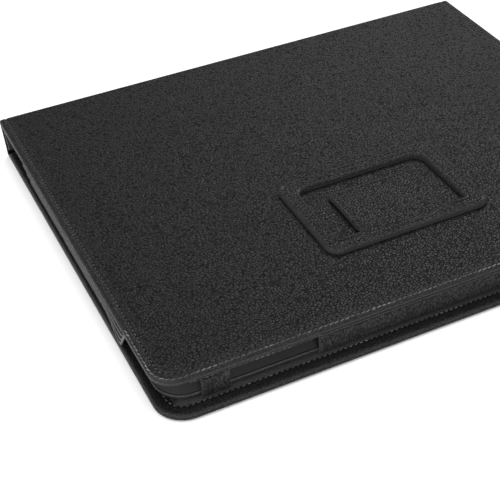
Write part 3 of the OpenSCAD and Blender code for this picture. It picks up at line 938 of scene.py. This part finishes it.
tongueSet = {"overlap": 2.9, "radii": (0, 0, 3.0, 3.0), "wall": 0.55, "cut": 1.6,
             "edge": [(0.08, 0.32), (0.16, 0.22), (0.22, 0.14), (0.26, 0.09), (0.28, 0.08)],
             "hem": [(0.55, 0.0), (0.28, -0.2), (0.26, -0.05), (0.26, 0.05), (0.28, 0.2), (0.2, 0.0)],
             # on the near bar: just under its top, then a low swell
             "onBar": 0.1, "barSwell": 0.14, "barSwellEnd": 2.2,
             # down from the bar to the panel
             "slopeFrom": 0.6, "slopeTo": 9.0, "above": 0.1, "wave": 0.05, "waveSize": 11,
             # the left edge stands up, the right and far edges lie down
             "lift": 0.5, "liftWidth": 14, "liftFrom": (3, 9), "liftTo": (9, 1),
             "droop": 0.28, "droopWidth": 11, "droopFrom": (4, 16), "droopFar": 12,
             "thin": 0.35, "thinTo": (0.2, 2.0), "seamDown": 0.2, "seamStart": 5,
             "bendFrom": 0.6, "bendTo": 3.2}


def tongueHeights(x, y, box, barTop):
    # top and underside of the tongue at a place
    look = tongueSet
    x0, y0, z0, x1, y1, z1 = box
    root = tongueRoot
    top = barTop - look["onBar"]
    top += look["barSwell"] * smooth(root - look["overlap"], root - look["barSwellEnd"], y)
    down = smooth(root - look["slopeFrom"], root + look["slopeTo"], y)
    lifted = 1 - smooth(x0, x0 + look["liftWidth"], x)
    lifted *= smooth(root + look["liftFrom"][0], root + look["liftFrom"][1], y)
    lifted *= 1 - smooth(y1 - look["liftTo"][0], y1 - look["liftTo"][1], y)
    droop = smooth(x1 - look["droopWidth"], x1, x)
    droop *= smooth(root + look["droopFrom"][0], root + look["droopFrom"][1], y)
    droop = max(droop, smooth(y1 - look["droopFar"], y1, y)) * look["droop"]
    flat = z1 + look["above"] + look["lift"] * lifted - droop
    flat += look["wave"] * wave(x, y, 0, look["waveSize"], 13)
    top = top + (flat - top) * down
    full = smooth(root - look["thinTo"][0], root + look["thinTo"][1], y)
    return top, top - look["thin"] - (z1 - z0 - look["thin"]) * full


def makeTongue():
    look = tongueSet
    box = span("tongue_skin")
    x0, y0, z0, x1, y1, z1 = box
    barTop = span("catch_frame")[5]
    start = tongueRoot - look["overlap"]
    bm = bmesh.new()
    faces = pushUp(bm, outline(bm, x0, start, x1, y1, 0, look["radii"], 6), look["wall"])
    stepIn(bm, faces, look["edge"])
    stepIn(bm, faces, look["hem"])
    cutAcross(bm, 1, start, y1, look["cut"])
    cutAcross(bm, 0, x0, x1, look["cut"] * 2)
    tall = look["wall"] + sum(step[1] for step in look["edge"])
    for vert in bm.verts:
        x, y, z = back(vert.co)
        top, low = tongueHeights(x, y, box, barTop)
        vert.co.z = (low + (top - low) * z / tall) * mm
    piece = finished("tongueLeather", bm, outerLeather)
    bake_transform(piece)
    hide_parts("tongue_skin")
    # the seam goes up the left side, along the far edge and down the right side
    side = grooveAt(look)
    first = int(tongueRoot) + look["seamStart"]
    places = [(x0 + side, y) for y in range(first, int(y1 - side))]
    places += [(x, y1 - side + 0.4) for x in range(int(x0 + side + 2), int(x1 - side))]
    places += [(x1 - side + 0.3, y) for y in range(int(y1 - side - 1), first, -1)]
    path = [at(x, y, tongueHeights(x, y, box, barTop)[0] - look["seamDown"]) for x, y in places]
    sewRow("tongueSeam", path, "tongue", fineSeam, finish=darkThread)


makeTongue()
print("catch and tongue made")

# rows along the panels' edges
panelSeams = {"edgeIn": 0.72, "edgeEnd": 34, "edgeDown": 0.14, "hemDown": 0.12, "foldGap": 0.4,
              "coverDown": 0.1, "coverFarR": 0.5}


def nearRow(x0, y0, x1, y1, radius, inset, z, end):
    # from the left side round both near corners to the right side, as far as "end"
    radii = (radius - inset, radius - inset, 0, 0)
    loop = roundLoop(x0 + inset, y0 + inset, x1 - inset, y1, radii, z, closed=False)
    corners = loop[:2 * (arcSteps + 1)]
    return [at(x0 + inset, end, z)] + corners + [at(x1 - inset, end, z)]


def makePanelSeams():
    look = panelSeams
    x0, y0, z0, x1, y1, z1 = span("back_skin")
    radius = backSet["cornerR"]
    path = nearRow(x0, y0, x1, y1, radius, look["edgeIn"], z1 - look["edgeDown"], look["edgeEnd"])
    sewRow("backEdgeSeam", path, "shell", dict(seam, length=2.2, width=0.5, height=0.3))
    path = nearRow(x0, y0, x1, y1, radius, grooveAt(backSet), z1 - look["hemDown"], y1 - look["foldGap"])
    sewRow("backHemSeam", path, "shell", dict(seam, width=0.4, height=0.16), finish=darkThread)
    x0, y0, z0, x1, y1, z1 = span("cover_skin")
    hem = grooveAt(coverSet)
    nearR = coverSet["cornerR"] - hem
    path = roundLoop(x0 + hem, y0 + hem, x1 - hem, y1 - hem,
                     (nearR, nearR, look["coverFarR"], look["coverFarR"]), z1 - look["coverDown"])
    sewRow("coverHemSeam", path, "cover", dict(seam, width=0.5, height=0.22))


makePanelSeams()
print("seams made")

# pads, boards and linings that stay as they are
for name, node in frame["nodes"].items():
    finish = nodeFinish.get(name.split("_")[-1], outerLeather)
    for index in range(len(node.material_slots)):
        node.material_slots[index].material = finish
    if not node.material_slots:
        node.data.materials.append(finish)

roomSet = {"floorSize": 6.0, "floor": (0.93, 0.93, 0.93), "floorDown": 0.02,
           "world": (1.0, 1.0, 1.0), "worldStrength": 0.42,
           "lamps": [("topSoft", (0.0, 0.2, 3.0), (2.4, 2.4), 62.0),
                     ("keySoft", (1.7, 2.1, 2.2), (1.1, 1.1), 46.0),
                     ("frontSoft", (-0.6, -2.5, 1.0), (1.5, 0.9), 50.0),
                     ("leftSoft", (-2.4, 0.2, 0.8), (0.8, 1.4), 26.0)],
           "lampsLookAt": (0, 0, 0.01),
           "eye": (-0.216719, -0.384649, 0.323514), "yaw": 0.423625, "pitch": 0.683999, "roll": -0.0389439,
           "lens": 85.33}


def makeFloor():
    look = roomSet
    bm = bmesh.new()
    bmesh.ops.create_grid(bm, x_segments=1, y_segments=1, size=look["floorSize"] / 2)
    material, nodes, links, shader = startMaterial("paleFloor")
    place = addNode(nodes, "ShaderNodeTexCoord").outputs["Object"]
    grain = addNode(nodes, "ShaderNodeTexNoise", Scale=3.0, Detail=3.0)
    links.new(place, grain.inputs["Vector"])
    colour = addRamp(nodes, [(0.0, tuple(c * 0.99 for c in look["floor"])), (1.0, look["floor"])])
    links.new(grain.outputs["Fac"], colour.inputs["Fac"])
    links.new(colour.outputs["Color"], shader.inputs["Base Color"])
    shader.inputs["Roughness"].default_value = 0.9
    shader.inputs["Specular IOR Level"].default_value = 0.1
    floor = finished("floor", bm, material)
    floor.data.transform(Matrix.Translation((0, 0, cadLo.z - look["floorDown"] * mm)))


def makeLight():
    look = roomSet
    world = bpy.data.worlds.new("studio")
    world.use_nodes = True
    world.node_tree.nodes["Background"].inputs["Color"].default_value = (*look["world"], 1)
    world.node_tree.nodes["Background"].inputs["Strength"].default_value = look["worldStrength"]
    bpy.context.scene.world = world
    for name, place, size, power in look["lamps"]:
        data = bpy.data.lights.new(name, "AREA")
        data.shape = "RECTANGLE"
        data.size, data.size_y = size
        data.energy = power
        lamp = bpy.data.objects.new(name, data)
        lamp.location = place
        towards = Vector(look["lampsLookAt"]) - Vector(place)
        lamp.rotation_euler = towards.to_track_quat("-Z", "Y").to_euler()
        bpy.context.scene.collection.objects.link(lamp)


def makeCamera():
    look = roomSet
    data = bpy.data.cameras.new("view")
    data.lens = look["lens"]
    data.clip_start = 0.01
    camera = bpy.data.objects.new("view", data)
    camera.matrix_world = (Matrix.Translation(look["eye"]) @ Matrix.Rotation(-look["yaw"], 4, "Z")
                           @ Matrix.Rotation(math.pi / 2 - look["pitch"], 4, "X")
                           @ Matrix.Rotation(look["roll"], 4, "Z"))
    bpy.context.scene.collection.objects.link(camera)
    bpy.context.scene.camera = camera
    bpy.context.scene.view_settings.view_transform = "Standard"


makeFloor()
makeLight()
makeCamera()
print("room made")
